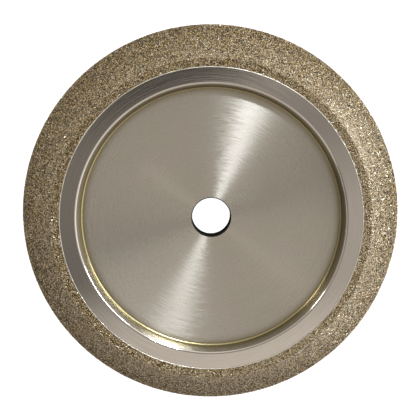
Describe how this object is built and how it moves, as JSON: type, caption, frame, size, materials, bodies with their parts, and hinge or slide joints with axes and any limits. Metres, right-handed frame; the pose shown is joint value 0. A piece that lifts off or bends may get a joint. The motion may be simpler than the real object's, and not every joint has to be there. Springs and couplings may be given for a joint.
{
  "type": "electroplated profile grinding wheel",
  "caption": "Round grinding wheel: a turned steel core with a plain arbor hole and recessed web, and a profiled rim plated with abrasive grit.",
  "frame": {"origin": "where the wheel's axis crosses the plane of its back face, which it lies on", "axes": "+Z along the wheel's axis, out of the front recess; X and Y lie in the plane of the back face"},
  "size_m": [0.127, 0.127, 0.0222],
  "materials": {
    "turned_steel": "turned and polished, circular brushing on the web",
    "nickel_plate": "satin electroplated nickel",
    "abrasive_crystals": "rough, sparkling single layer of khaki crystals"
  },
  "bodies": {
    "root": {"steel_core": "turned_steel", "nickel_bond": "nickel_plate", "abrasive_grit": "abrasive_crystals"}
  },
  "joints": []
}
